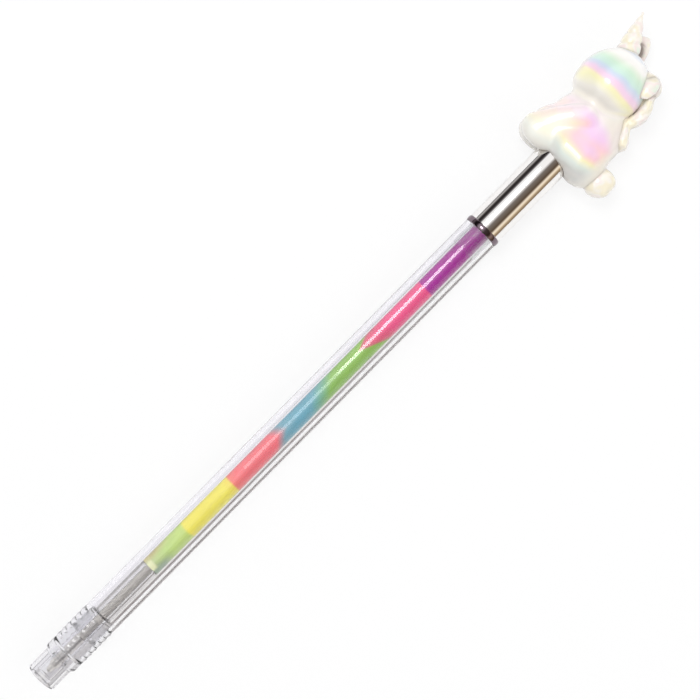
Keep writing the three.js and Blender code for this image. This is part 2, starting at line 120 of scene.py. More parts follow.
def ramp_of(tree, value, low, high, stops):
    """The colour for a value from low to high. Stops are (value, sRGB bytes)."""
    ramp = add(tree, "ShaderNodeValToRGB")
    places = [((at - low) / (high - low), linear(*colour)) for at, colour in stops]
    points = ramp.color_ramp.elements
    points[0].position, points[0].color = places[0]
    points[1].position, points[1].color = places[-1]
    for position, colour in places[1:-1]:
        points.new(position).color = colour
    share = maths(tree, "MULTIPLY_ADD", value, 1 / (high - low), -low / (high - low))
    tree.links.new(share, ramp.inputs[0])
    return ramp.outputs[0]


def maths(tree, operation, first, second=None, third=None):
    node = tree.nodes.new("ShaderNodeMath")
    node.operation = operation
    for socket, value in zip(node.inputs, (first, second, third)):
        if value is None:
            continue
        if isinstance(value, (int, float)):
            socket.default_value = value
        else:
            tree.links.new(value, socket)
    return node.outputs[0]


def split(tree, vector):
    """A vector's three numbers."""
    node = add(tree, "ShaderNodeSeparateXYZ")
    tree.links.new(vector, node.inputs[0])
    return node.outputs


def blend(tree, share_of_second, first, second):
    """One colour that goes over into the other."""
    mix = add(tree, "ShaderNodeMix", data_type="RGBA")
    tree.links.new(share_of_second, mix.inputs["Factor"])
    for socket, value in ((mix.inputs[6], first), (mix.inputs[7], second)):
        if isinstance(value, tuple):
            socket.default_value = value
        else:
            tree.links.new(value, socket)
    return mix.outputs[2]


def mix_of(tree, share_of_second, first, second):
    """One shader that goes over into the other."""
    mix = add(tree, "ShaderNodeMixShader")
    if isinstance(share_of_second, float):
        mix.inputs[0].default_value = share_of_second
    else:
        tree.links.new(share_of_second, mix.inputs[0])
    tree.links.new(first, mix.inputs[1])
    tree.links.new(second, mix.inputs[2])
    return mix.outputs[0]


def step_of(tree, value, start, end, most=1.0):
    """Rises smoothly from 0 at start to most at end."""
    step = add(tree, "ShaderNodeMapRange", interpolation_type="SMOOTHSTEP",
               inputs={"From Min": start, "From Max": end, "To Max": most})
    tree.links.new(value, step.inputs["Value"])
    return step.outputs[0]


def bump_of(tree, height, strength, distance):
    bump = add(tree, "ShaderNodeBump", inputs={"Strength": strength, "Distance": distance})
    tree.links.new(height, bump.inputs["Height"])
    return bump.outputs["Normal"]


def object_point(tree):
    return add(tree, "ShaderNodeTexCoord").outputs["Object"]


def stretched(tree, scale):
    mapping = add(tree, "ShaderNodeMapping", inputs={"Scale": scale})
    tree.links.new(object_point(tree), mapping.inputs["Vector"])
    return mapping.outputs[0]


def noise_of(tree, scale, detail, stretch=(1, 1, 1)):
    """A pattern from 0 to 1. A stretch below 1 draws it out along that axis."""
    noise = add(tree, "ShaderNodeTexNoise", inputs={"Scale": scale, "Detail": detail})
    tree.links.new(stretched(tree, stretch), noise.inputs["Vector"])
    return noise.outputs["Fac"]


# Materials

FIGURE_BASE = 154.2  # where the figure's underside lies along the pen


def uneven(tree, pattern, roughness):
    """The roughness, varied about its plain value by a pattern from 0 to 1."""
    return maths(tree, "MULTIPLY_ADD", pattern, roughness * 1.2, roughness * 0.4)


POLISH_ROUGHNESS = 0.12  # of the soft gloss round the sharp one on polished plastic


def clear_plastic(name, tint, roughness, flow=0.15, ior=1.49, polish=0.0, end=None):
    """Clear moulded plastic: faint flow lines along the pen, fine scratches, and lamps shine through.

    An end is a place along the pen, and a tint painted on the plastic in front of it, which stands in
    for light or shade there.
    """
    material, tree, out = new_material(name)
    shader = add(tree, "ShaderNodeBsdfPrincipled",
                 inputs={"Base Color": tint, "Roughness": roughness, "IOR": ior,
                         "Transmission Weight": 1.0,
                         "Coat Weight": polish, "Coat Roughness": POLISH_ROUGHNESS})
    lines = noise_of(tree, 260, 1.0, stretch=(0.12, 1, 1))
    marks = noise_of(tree, 700, 2.0, stretch=(0.2, 1, 1))
    tree.links.new(uneven(tree, marks, roughness), shader.inputs["Roughness"])
    tree.links.new(bump_of(tree, lines, flow, 0.004 * MM), shader.inputs["Normal"])
    if end is not None:
        # A tint painted in front of the end, standing in for light or shade there.
        place_of_end, painted_end_tint = end
        along = split(tree, object_point(tree))[0]
        in_front = maths(tree, "LESS_THAN", along, place_of_end * MM)
        tree.links.new(blend(tree, in_front, tint, painted_end_tint), shader.inputs["Base Color"])
    lamps = add(tree, "ShaderNodeBsdfTransparent", inputs={"Color": (1, 1, 1, 1)})
    shadow = add(tree, "ShaderNodeLightPath").outputs["Is Shadow Ray"]
    surface = mix_of(tree, shadow, shader.outputs[0], lamps.outputs[0])
    tree.links.new(surface, out.inputs["Surface"])
    return material


def metal(name, colour, roughness, grain, stretch):
    """Metal with fine wear."""
    material, tree, out = new_material(name)
    shader = add(tree, "ShaderNodeBsdfPrincipled",
                 inputs={"Base Color": colour, "Metallic": 1.0, "Roughness": roughness})
    wear = noise_of(tree, 700, 4.0, stretch=stretch)
    tree.links.new(uneven(tree, wear, roughness), shader.inputs["Roughness"])
    tree.links.new(bump_of(tree, wear, grain, 0.03 * MM), shader.inputs["Normal"])
    tree.links.new(shader.outputs[0], out.inputs["Surface"])
    return material


def feed_plastic():
    """Grey-beige core with faint lengthwise streaks."""
    material, tree, out = new_material("grey feed core")
    streaks = noise_of(tree, 1500, 3.0, stretch=(0.05, 1, 1))
    colour = ramp_of(tree, streaks, 0, 1, [(0.3, (184, 179, 173)), (0.7, (200, 195, 188))])
    shader = add(tree, "ShaderNodeBsdfPrincipled",
                 inputs={"Roughness": 0.6, "IOR": 1.45, "Specular IOR Level": 0.2})
    tree.links.new(colour, shader.inputs["Base Color"])
    tree.links.new(bump_of(tree, streaks, 0.2, 0.02 * MM), shader.inputs["Normal"])
    tree.links.new(shader.outputs[0], out.inputs["Surface"])
    return material


# The gel's colours against the distance along the pen, each band from its lower end to its upper
GEL_STOPS = [
    (33.4, (204, 210, 178)),
    (35.0, (200, 216, 152)),
    (38.5, (200, 228, 138)),
    (44.1, (208, 232, 130)),
    (44.4, (252, 241, 96)),
    (56.5, (255, 243, 100)),
    (58.2, (254, 232, 104)),
    (58.5, (254, 132, 128)),
    (61.0, (255, 124, 132)),
    (72.6, (253, 120, 132)),
    (74.0, (198, 154, 164)),
    (75.4, (126, 178, 196)),
    (78.0, (111, 178, 200)),
    (82.5, (114, 180, 198)),
    (85.6, (130, 190, 156)),
    (88.0, (152, 202, 100)),
    (96.7, (156, 203, 92)),
    (97.3, (214, 124, 124)),
    (98.4, (236, 98, 132)),
    (104.0, (249, 86, 144)),
    (116.3, (250, 82, 144)),
    (116.6, (176, 12, 158)),
    (124.0, (174, 10, 157)),
    (135.3, (156, 12, 144)),
]


# Where the last band fades, and a painted glint at its lower end: from, to, the side or 0 for both, how
# far across, and the colour it gets
GEL_FADES = [
    (42.0, 35.5, -1, (0.3, 2.0), (214, 200, 140)),
    (39.5, 35.8, 1, (0.0, 1.6), (164, 186, 164)),
    # A painted glint where the gel meets the top of the feed.
    (35.0, 34.4, 0, (1.2, 0.7), (244, 247, 200)),
]


def gel_material():
    """Seven bands of gel that meet in a point, in slants and in soft steps, with faint streaks and a
    painted glint at the lower end.
    """
    material, tree, out = new_material("gel")
    point = split(tree, object_point(tree))
    along = maths(tree, "DIVIDE", point[0], MM)
    across = maths(tree, "DIVIDE", point[1], -MM)

    def window(low, high):
        """1 between two places along the pen, and 0 beyond them."""
        rise = maths(tree, "SUBTRACT", along, low)
        fall = maths(tree, "SUBTRACT", high, along)
        clamped = add(tree, "ShaderNodeClamp")
        tree.links.new(maths(tree, "MINIMUM", rise, fall), clamped.inputs["Value"])
        return clamped.outputs[0]

    def times(value, factor):
        return maths(tree, "MULTIPLY", value, factor)

    def away_from(line):
        """The distance from a line along the gel, on either side of it."""
        return maths(tree, "ABSOLUTE", maths(tree, "SUBTRACT", across, line))

    point_of_pink = times(away_from(-0.64), -2.7)
    slant_of_green = times(maths(tree, "ADD", across, 0.2), 1.25)
    step_of_coral = times(away_from(-0.3), 1.5)
    curve_of_yellow = times(times(across, across), -0.1)
    swirl = maths(tree, "SUBTRACT", noise_of(tree, 300, 3.0, stretch=(0.6, 1, 1)), 0.5)
    moved = along
    for shift, low, high in (
        (point_of_pink, 94.0, 106.0),
        (slant_of_green, 79.0, 92.0),
        (times(swirl, 2.2), 67.0, 92.0),
        (step_of_coral, 67.0, 78.0),
        (curve_of_yellow, 41.0, 48.0),
    ):
        moved = maths(tree, "MULTIPLY_ADD", shift, window(low, high), moved)
    bands = ramp_of(tree, moved, GEL_STOPS[0][0], GEL_STOPS[-1][0], GEL_STOPS)
    cloud = add(tree, "ShaderNodeMix", data_type="RGBA", blend_type="SOFT_LIGHT",
                inputs={"Factor": 0.12})
    tree.links.new(bands, cloud.inputs[6])
    tree.links.new(noise_of(tree, 260, 4.0, stretch=(0.3, 1, 1)), cloud.inputs[7])
    colour = cloud.outputs[2]
    for start, end, side, reach, tint in GEL_FADES:
        lower = step_of(tree, along, start, end)
        offset = maths(tree, "MULTIPLY", across, side) if side else maths(tree, "ABSOLUTE", across)
        aside = step_of(tree, offset, *reach)
        colour = blend(tree, maths(tree, "MULTIPLY", lower, aside), colour, linear(*tint))
    shader = add(tree, "ShaderNodeBsdfPrincipled",
                 inputs={"Roughness": 0.5, "IOR": 1.4, "Specular IOR Level": 0.0})
    tree.links.new(colour, shader.inputs["Base Color"])
    tree.links.new(shader.outputs[0], out.inputs["Surface"])
    return material


# The pearl's painted sheen against how far the surface faces up the pen, from -1 to 1: interference
# colours, with a near-white painted highlight band and painted grey shade where the surface faces down
# the pen.
HEAD_PAINTED_SHEEN = [
    (-1.0, (214, 210, 205)),
    (-0.72, (226, 222, 214)),
    (-0.55, (238, 234, 224)),
    (-0.42, (246, 242, 216)),
    (-0.26, (248, 243, 196)),
    (-0.15, (250, 240, 198)),
    (-0.09, (250, 226, 218)),
    (-0.03, (248, 216, 232)),
    (0.05, (244, 212, 236)),
    (0.11, (220, 218, 238)),
    (0.16, (208, 222, 238)),
    (0.23, (208, 236, 226)),
    (0.36, (214, 240, 218)),
    (0.47, (234, 244, 228)),
    (0.58, (252, 250, 245)),
    (0.76, (254, 252, 250)),
    (0.88, (216, 224, 240)),
    (1.0, (234, 230, 232)),
]
BODY_PAINTED_SHEEN = [
    (-1.0, (204, 202, 198)),
    (-0.5, (212, 212, 208)),
    (-0.28, (220, 228, 220)),
    (-0.16, (236, 236, 214)),
    (-0.05, (248, 238, 192)),
    (0.04, (252, 222, 202)),
    (0.12, (252, 208, 216)),
    (0.24, (247, 208, 240)),
    (0.38, (246, 218, 243)),
    (0.52, (252, 240, 245)),
    (0.70, (254, 250, 244)),
    (1.0, (246, 240, 230)),
]
TRIM_SHEEN = [
    (0.25, (250, 246, 222)),
    (0.42, (247, 238, 214)),
    (0.52, (250, 245, 236)),
    (0.62, (250, 234, 230)),
    (0.75, (236, 244, 230)),
]


def head_colour(tree, normal, cloud):
    """Bands of painted sheen across the head, with a painted highlight band and painted shade where it
    faces down the pen.
    """
    facing = maths(tree, "MULTIPLY_ADD", cloud, 0.14, normal[0])
    facing = maths(tree, "MULTIPLY_ADD", normal[1], 0.04, facing)
    return ramp_of(tree, facing, -1, 1, HEAD_PAINTED_SHEEN)


SLANT_WAY = (0.796, -0.605)  # across the slant on which the body's sheen ends, along x and y
SLANT_AT = 14.6  # where that slant crosses the pen's axis, above the figure's underside


def body_colour(tree, point, normal, cloud):
    """A patch of painted sheen on the flank, with a painted highlight above and painted shade below it,
    which fades towards the face, the neck and the back.
    """
    height = maths(tree, "SUBTRACT", point[0], (FIGURE_BASE + 4.5) * MM)
    slope = maths(tree, "MULTIPLY", normal[0], 0.45)
    facing = maths(tree, "MULTIPLY_ADD", height, 0.03 / MM, slope)
    facing = maths(tree, "MULTIPLY_ADD", maths(tree, "ABSOLUTE", normal[1]), -0.2, facing)
    facing = maths(tree, "MULTIPLY_ADD", cloud, 0.16, facing)
    sheen = ramp_of(tree, facing, -1, 1, BODY_PAINTED_SHEEN)
    towards_face = step_of(tree, point[1], 0.0, 4.5 * MM, 0.6)
    colour = blend(tree, towards_face, sheen, linear(250, 246, 236))
    start = -SLANT_WAY[0] * (FIGURE_BASE + SLANT_AT) * MM
    slant = maths(tree, "MULTIPLY_ADD", point[0], SLANT_WAY[0], start)
    slant = maths(tree, "MULTIPLY_ADD", point[1], SLANT_WAY[1], slant)
    past_slant = step_of(tree, slant, -0.6 * MM, 2.2 * MM, 0.85)
    at_the_back = step_of(tree, point[1], -6.0 * MM, -9.0 * MM, 0.9)
    plain = maths(tree, "MAXIMUM", past_slant, at_the_back)
    return blend(tree, plain, colour, linear(242, 236, 224))


def pearl_material():
    """Pearl lacquer under a clear coat: a painted sheen that follows the surface's slope, and painted
    shade.
    """
    material, tree, out = new_material("pearl lacquer")
    point = split(tree, object_point(tree))
    normal = split(tree, add(tree, "ShaderNodeTexCoord").outputs["Normal"])
    cloud = maths(tree, "SUBTRACT", noise_of(tree, 170, 2.0), 0.5)
    painted = add(tree, "ShaderNodeVertexColor", layer_name="zones")
    zones = add(tree, "ShaderNodeSeparateColor")
    tree.links.new(painted.outputs["Color"], zones.inputs[0])
    painted_crease_shade, trim, on_head = zones.outputs
    colour = blend(tree, on_head, body_colour(tree, point, normal, cloud),
                   head_colour(tree, normal, cloud))
    # The neck is cream, where head and body meet.
    off_the_neck = maths(tree, "ABSOLUTE", maths(tree, "MULTIPLY_ADD", on_head, 2.0, -1.0))
    neck = maths(tree, "SUBTRACT", 1.0, maths(tree, "POWER", off_the_neck, 2.0))
    colour = blend(tree, neck, colour, linear(246, 241, 232))
    colour = blend(tree, trim, colour, ramp_of(tree, noise_of(tree, 330, 1.0), 0, 1, TRIM_SHEEN))
    # On the rim round the figure's two flanks the painted sheen gives way to a plain cream that is
    # painted darker on the side that faces the back: painted shade.
    to_the_back = step_of(tree, normal[1], 0.3, -0.5)
    painted_rim_shade = blend(tree, to_the_back, linear(244, 240, 236), linear(238, 231, 219))
    on_rim = step_of(tree, maths(tree, "ABSOLUTE", normal[2]), 0.6, 0.0, 0.8)
    colour = blend(tree, on_rim, colour, painted_rim_shade)
    # Painted shade, darker in the creases between parts and round the socket under the figure.
    depth = maths(tree, "MULTIPLY", maths(tree, "POWER", painted_crease_shade, 2.5), 0.7)
    colour = blend(tree, depth, colour, linear(158, 146, 132))
    # Painted shade in the far ear's hollow.
    colour = blend(tree, painted.outputs["Alpha"], colour, linear(166, 154, 148))
    flake = noise_of(tree, 9000, 2.0)
    shader = add(tree, "ShaderNodeBsdfPrincipled",
                 inputs={"Roughness": 0.35, "IOR": 1.45,
                         "Coat Weight": 1.0, "Coat Roughness": 0.05, "Coat IOR": 1.55,
                         "Sheen Weight": 0.1, "Sheen Roughness": 0.4})
    tree.links.new(colour, shader.inputs["Base Color"])
    tree.links.new(bump_of(tree, flake, 0.06, 0.02 * MM), shader.inputs["Normal"])
    tree.links.new(shader.outputs[0], out.inputs["Surface"])
    return material


CLEAR = clear_plastic("clear styrene", (0.985, 0.985, 0.995, 1), roughness=0.025, flow=0.05,
                      polish=0.45)
# The cap's end section, in front of 5.7 mm, is tinted lighter than the rest of the cap: painted light.
SMOKY = clear_plastic("slightly grey styrene", (0.905, 0.905, 0.925, 1), roughness=0.04,
                      end=(5.7, (0.965, 0.965, 0.975, 1)))
# The tube's last fraction of a millimetre at its cut end is tinted dark: painted shade where it stands
# on the holder's shoulder.
TUBE = clear_plastic("refill tube plastic", (0.985, 0.982, 0.975, 1), roughness=0.012, flow=0.04,
                     end=(19.1, (0.3, 0.29, 0.29, 1)))
CHROME = metal("chrome", linear(246, 244, 242), 0.03, 0.05, (0.1, 1, 1))
RING_METAL = metal("smoked chrome", linear(128, 114, 122), 0.1, 0.1, (1, 0.1, 0.1))
NICKEL = metal("nickel silver", linear(240, 236, 230), 0.25, 0.25, (1, 0.05, 0.05))
CARBIDE = metal("tungsten carbide", linear(150, 148, 146), 0.12, 0.1, (1, 1, 1))
FEED = feed_plastic()
GREASE = clear_plastic("clear grease", (0.95, 0.93, 0.86, 1), roughness=0.15, ior=1.45)
PEARL = pearl_material()


# Mesh helpers


def make_object(name, vertices, faces, material, sharp_angle=30):
    mesh = bpy.data.meshes.new(name)
    mesh.from_pydata([tuple(v) for v in np.asarray(vertices) * MM], [], faces)
    mesh.update()
    obj = bpy.data.objects.new(name, mesh)
    scene.collection.objects.link(obj)
    mesh.materials.append(material)
    shade(obj, sharp_angle)
    return obj


def shade(obj, sharp_angle=30):
    obj.data.polygons.foreach_set("use_smooth", [True] * len(obj.data.polygons))
    obj.data.set_sharp_from_angle(angle=math.radians(sharp_angle))


def place(obj, body, slot, *replaced):
    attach(obj, body)
    if replaced:
        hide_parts(*replaced)


def rounded(profile, radius, steps=4):
    """The profile with its corners rounded. Points are (x, radius)."""
    out = [profile[0]]
    for before, corner, after in zip(profile, profile[1:], profile[2:]):
        corner_v = Vector(corner)
        back = Vector(before) - corner_v
        ahead = Vector(after) - corner_v
        cut = min(radius, back.length * 0.45, ahead.length * 0.45)
        if cut < 1e-4 or back.normalized().dot(-ahead.normalized()) > 0.98:
            out.append(corner)
            continue
        start = corner_v + back.normalized() * cut
        end = corner_v + ahead.normalized() * cut
        for i in range(steps + 1):
            t = i / steps
            point = start * (1 - t) ** 2 + corner_v * 2 * t * (1 - t) + end * t ** 2
            out.append((point.x, point.y))
    out.append(profile[-1])
    return out


def revolve(name, profile, material, sides=192, closed=True, sharp_angle=30):
    """A profile of (x, radius) turned about the pen's axis. A closed profile makes a tube."""
    vertices, faces, rings = [], [], []
    for x, radius in profile:
        if radius < 1e-6:
            rings.append([len(vertices)])
            vertices.append((x, 0, 0))
            continue
        ring = []
        for j in range(sides):
            angle = 2 * math.pi * j / sides
            ring.append(len(vertices))
            vertices.append((x, radius * math.cos(angle), radius * math.sin(angle)))
        rings.append(ring)
    pairs = list(zip(rings, rings[1:]))
    if closed:
        pairs.append((rings[-1], rings[0]))
    for low, high in pairs:
        for j in range(sides):
            k = (j + 1) % sides
            quad = [low[j % len(low)], low[k % len(low)], high[k % len(high)], high[j % len(high)]]
            face = [v for i, v in enumerate(quad) if v not in quad[:i]]
            if len(face) > 2:
                faces.append(face)
    obj = make_object(name, vertices, faces, material, sharp_angle)
    fix_normals(obj)
    shade(obj, sharp_angle)
    return obj


def fix_normals(obj):
    work = bmesh.new()
    work.from_mesh(obj.data)
    bmesh.ops.recalc_face_normals(work, faces=work.faces)
    work.to_mesh(obj.data)
    work.free()


def combine(obj, others, operation):
    """Joins the other solids to obj, or cuts them from it."""
    for other in others:
        step = obj.modifiers.new("combine", "BOOLEAN")
        step.operation = operation
        step.solver = "EXACT"
        step.object = other
        with bpy.context.temp_override(object=obj, active_object=obj):
            bpy.ops.object.modifier_apply(modifier=step.name)
        bpy.data.objects.remove(other)
    shade(obj)


def box_piece(low, high, turn, material):
    """A box between two corners, turned about the pen's axis."""
    xs, ys, zs = zip(low, high)
    corners = [(x, y, z) for x in xs for y in ys for z in zs]
    c, s = math.cos(turn), math.sin(turn)
    corners = [(x, y * c - z * s, y * s + z * c) for x, y, z in corners]
    faces = [(0, 1, 3, 2), (4, 6, 7, 5), (0, 4, 5, 1), (2, 3, 7, 6), (0, 2, 6, 4), (1, 5, 7, 3)]
    obj = make_object("box", corners, faces, material)
    fix_normals(obj)
    return obj


# Barrel

barrel_low, barrel_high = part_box("barrel")
BARREL_FRONT = barrel_low.x / MM
BARREL_REAR = barrel_high.x / MM
BARREL_RADIUS = barrel_high.z / MM
NECK_RADIUS = 3.3
NECK_END = BARREL_FRONT + 3.9
BORE = 3.0
BORE_FIT = 2.95  # radius of the pieces that sit in the bore


def barrel_piece():
    return revolve("barrel_clear", rounded([
        (BARREL_FRONT, BORE),
        (BARREL_FRONT, NECK_RADIUS),
        (NECK_END, NECK_RADIUS),
        (NECK_END, BARREL_RADIUS),
        (BARREL_REAR, BARREL_RADIUS),
        (BARREL_REAR, BORE),
        (BARREL_FRONT, BORE),
    ], 0.12)[:-1], CLEAR)


place(barrel_piece(), "barrel", "barrel", "barrel")


# Cap: end section, band, six grip rings, and inside it the seal cup on its four webs

CAP_RIM = NECK_END
CAP_END_RADIUS = 3.55
CAP_END_LENGTH = 5.4
CAP_BAND_FROM = 6.0
CAP_BAND_RADIUS = 4.1
CAP_RINGS_FROM = 8.7
CAP_RINGS = 6
CAP_RING_RADIUS = 4.2
CAP_GROOVE_RADIUS = 4.06
CAP_BORE = 3.35
CAP_END_BORE = 2.65
SEAL_BORE = 1.5
SEAL_OUTER = 1.92
SEAL_MOUTH = 6.0
SEAL_FLOOR = 1.2
WEB_HALF = 0.4
WEB_LENGTH = 5.0


def cap_piece():
    outside = rounded([
        (0, CAP_END_BORE + 0.4),
        (0, CAP_END_RADIUS),
        (CAP_END_LENGTH, CAP_END_RADIUS),
        (CAP_BAND_FROM, CAP_BAND_RADIUS),
        (CAP_RINGS_FROM - 0.3, CAP_BAND_RADIUS),
    ], 0.28)[1:]
    steps = 14 * CAP_RINGS
    for i in range(steps + 1):
        swell = 0.5 - 0.5 * math.cos(2 * math.pi * CAP_RINGS * i / steps)
        radius = CAP_GROOVE_RADIUS + (CAP_RING_RADIUS - CAP_GROOVE_RADIUS) * swell
        outside.append((CAP_RINGS_FROM + (CAP_RIM - CAP_RINGS_FROM) * i / steps, radius))
    inside = rounded([
        (CAP_RIM, CAP_BORE + 0.1),
        (CAP_RIM - 0.1, CAP_BORE),
        (CAP_RINGS_FROM, CAP_BORE),
        (CAP_RINGS_FROM - 1.0, CAP_END_BORE),
        (0, CAP_END_BORE),
    ], 0.15)
    shell = revolve("cap_clear", outside + inside, SMOKY, sharp_angle=40)
    cup = revolve("cup", rounded([
        (0, 0),
        (0, SEAL_OUTER),
        (SEAL_MOUTH, SEAL_OUTER),
        (SEAL_MOUTH, SEAL_BORE),
        (SEAL_FLOOR, SEAL_BORE),
        (SEAL_FLOOR, 0),
    ], 0.1), SMOKY, sides=96, closed=False)
    low = (0.02, -WEB_HALF, SEAL_OUTER - 0.2)
    high = (WEB_LENGTH, WEB_HALF, CAP_END_BORE + 0.2)
    webs = [box_piece(low, high, i * math.pi / 2, SMOKY) for i in range(4)]
    combine(shell, [cup, *webs], "UNION")
    return shell


place(cap_piece(), "cap", "cap", "cap")


# Writing end

TIP_FRONT = 2.35
BALL_AT = 2.6
BALL_RADIUS = 0.499
NOSE_FRONT = 6.4
PLUG_SEAT = 18.8
STEM_TOP = 33.4
TIP_TAIL = 12.0
COLLAR_FRONT = BARREL_FRONT - 0.6


def ball_piece():
    steps = 24
    arc = [math.pi * i / steps for i in range(steps + 1)]
    profile = [(BALL_AT - BALL_RADIUS * math.cos(a), BALL_RADIUS * math.sin(a)) for a in arc]
    return revolve("ball_polished", profile, CARBIDE, sides=48, closed=False)


def tip_piece():
    return revolve("tip_turned", rounded([
        (TIP_FRONT, 0.5),
        (TIP_FRONT, 0.6),
        (3.7, 0.95),
        (4.05, 1.2),
        (TIP_TAIL, 1.2),
        (TIP_TAIL, 0.25),
        (3.16, 0.25),
        (2.95, 0.45),
        (BALL_AT, 0.56),
        (TIP_FRONT, 0.5),
    ], 0.06)[:-1], NICKEL, sides=96)


def holder_piece():
    return revolve("holder_clear", rounded([
        (NOSE_FRONT, 1.25),
        (NOSE_FRONT, 1.75),
        (COLLAR_FRONT, 2.1),
        (COLLAR_FRONT, NECK_RADIUS),
        (BARREL_FRONT, NECK_RADIUS),
        (BARREL_FRONT, BORE_FIT),
        (PLUG_SEAT, BORE_FIT),
        (PLUG_SEAT, 2.1),
        (STEM_TOP - 0.3, 2.1),
        (STEM_TOP, 1.8),
        (STEM_TOP, 1.05),
        (TIP_TAIL, 1.05),
        (TIP_TAIL, 1.25),
        (NOSE_FRONT, 1.25),
    ], 0.14)[:-1], CLEAR)


def feed_piece():
    return revolve("feed_grey", rounded([
        (TIP_TAIL, 0.5),
        (TIP_TAIL, 1.0),
        (STEM_TOP - 0.4, 1.0),
        (STEM_TOP - 0.4, 0.5),
        (TIP_TAIL, 0.5),
    ], 0.05)[:-1], FEED, sides=64)


place(ball_piece(), "ball", "ball", "tip_ball")
place(tip_piece(), "refill", "tip", "tip_body")
place(holder_piece(), "refill", "holder", "tip_holder")
place(feed_piece(), "refill", "feed", "feed_tube")


# Refill tube and gel

REFILL_TAIL = 138.8
TUBE_RADIUS = 2.55
TUBE_BORE = 2.15


def tube_piece():
    return revolve("refill_tube_clear", rounded([
        (PLUG_SEAT, TUBE_BORE),
        (PLUG_SEAT, TUBE_RADIUS),
        (REFILL_TAIL, TUBE_RADIUS),
        (REFILL_TAIL, TUBE_BORE),
        (PLUG_SEAT, TUBE_BORE),
    ], 0.05)[:-1], TUBE)


place(tube_piece(), "refill", "refill", "refill_tube")

GEL_NODES = ["ink_lime", "ink_yellow", "ink_coral", "ink_blue", "ink_green", "ink_pink", "ink_purple"]
GEL = gel_material()


def paint(node, material):
    node.data.materials.clear()
    node.data.materials.append(material)


for name in GEL_NODES:
    paint(nodes[name], GEL)
    shade(nodes[name], 50)
paint(nodes["ink_follower"], GREASE)


# Topper: plug, ring and ferrule

SPIGOT_FROM = BARREL_REAR - 5.5
PLUG_END = BARREL_REAR + 19.5
PLUG_RADIUS = 3.7
PLUG_BORE = 2.6
PLUG_WALL_FROM = REFILL_TAIL + 1.0
PLUG_WALL_TO = REFILL_TAIL + 3.0
SLOT_HALF = 0.45
SLOT_LENGTH = 3.6
RING_LENGTH = 1.3
RING_SWELL = 0.2
FERRULE_FOOT = BARREL_REAR + RING_LENGTH
FERRULE_TOP = 160.8
FERRULE_RADIUS = 4.05
FERRULE_BORE = 3.75


def plug_piece():
    plug = revolve("plug_clear", rounded([
        (SPIGOT_FROM, PLUG_BORE),
        (SPIGOT_FROM, BORE_FIT),
        (BARREL_REAR, BORE_FIT),
        (BARREL_REAR, PLUG_RADIUS),
        (PLUG_END, PLUG_RADIUS),
        (PLUG_END, PLUG_BORE),
        (PLUG_WALL_TO, PLUG_BORE),
        (PLUG_WALL_TO, 0),
        (PLUG_WALL_FROM, 0),
        (PLUG_WALL_FROM, PLUG_BORE),
    ], 0.08), CLEAR)
    low = (SPIGOT_FROM - 1, -SLOT_HALF, PLUG_BORE / 2)
    high = (SPIGOT_FROM + SLOT_LENGTH, SLOT_HALF, BARREL_RADIUS)
    slots = [box_piece(low, high, i * math.pi / 2, CLEAR) for i in range(4)]
    combine(plug, slots, "DIFFERENCE")
    return plug


place(plug_piece(), "topper", "plug", "rear_plug")


def ring_piece():
    """A band whose outside swells like a bead."""
    half = RING_LENGTH / 2
    steps = 24
    profile = [(BARREL_REAR, FERRULE_BORE)]
    for i in range(steps + 1):
        angle = math.pi * i / steps
        x = BARREL_REAR + half - half * math.cos(angle)
        profile.append((x, FERRULE_RADIUS + RING_SWELL * math.sin(angle)))
    profile.append((FERRULE_FOOT, FERRULE_BORE))
    return revolve("trim_ring_chrome", profile, RING_METAL)


def ferrule_piece():
    return revolve("ferrule_chrome", rounded([
        (FERRULE_FOOT, FERRULE_BORE),
        (FERRULE_FOOT, FERRULE_RADIUS),
        (FERRULE_TOP, FERRULE_RADIUS),
        (FERRULE_TOP, FERRULE_BORE),
        (FERRULE_FOOT, FERRULE_BORE),
    ], 0.1)[:-1], CHROME)


place(ring_piece(), "topper", "trim", "trim_ring")
place(ferrule_piece(), "topper", "ferrule", "ferrule")


# Unicorn: the same melted masses as the solid, on a fine grid. Its points are in millimetres from the
# middle of its underside: up the pen, towards the face, and to the side.


def melt(a, b, softness):
    near = np.maximum(softness - np.abs(a - b), 0) / softness
    return np.minimum(a, b) - near * near * softness / 4


def ellipsoid(p, at, size, below=None):
    """Distance to an ellipsoid, near enough. Below its middle it can have another radius up the pen."""
    offset = p - np.array(at, np.float32)
    size = np.broadcast_to(np.array(size, np.float32), p.shape).copy()
    if below is not None:
        size[..., 0] = np.where(offset[..., 0] < 0, below, size[..., 0])
    reach = np.linalg.norm(offset / size, axis=-1)
    slope = np.maximum(np.linalg.norm(offset / size ** 2, axis=-1), 1e-6)
    return reach * (reach - 1) / slope


def limb(p, start, end, start_radius, end_radius, flat=1.0):
    """Distance to a rod with round ends. Above 1, flat presses it down across the figure."""
    press = np.array([1, 1, flat], np.float32)
    start, end, p = np.array(start, np.float32) * press, np.array(end, np.float32) * press, p * press
    run = end - start
    share = np.clip(((p - start) @ run) / (run @ run), 0, 1)
    nearest = start + share[..., None] * run
    away = np.linalg.norm(p - nearest, axis=-1) - (start_radius + (end_radius - start_radius) * share)
    return away / math.sqrt(flat)


def smooth_line(points, count):
    """A smooth line through the points, sampled evenly in its parameter."""
    points = np.array(points, float)
    padded = np.vstack([2 * points[0] - points[1], points, 2 * points[-1] - points[-2]])
    out = []
    for t in np.linspace(0, len(points) - 1 - 1e-6, count):
        i = int(t)
        f = t - i
        a, b, c, d = padded[i:i + 4]
        out.append(0.5 * (2 * b + (c - a) * f + (2 * a - 5 * b + 4 * c - d) * f ** 2
                          + (3 * b - a - 3 * c + d) * f ** 3))
    return np.array(out)


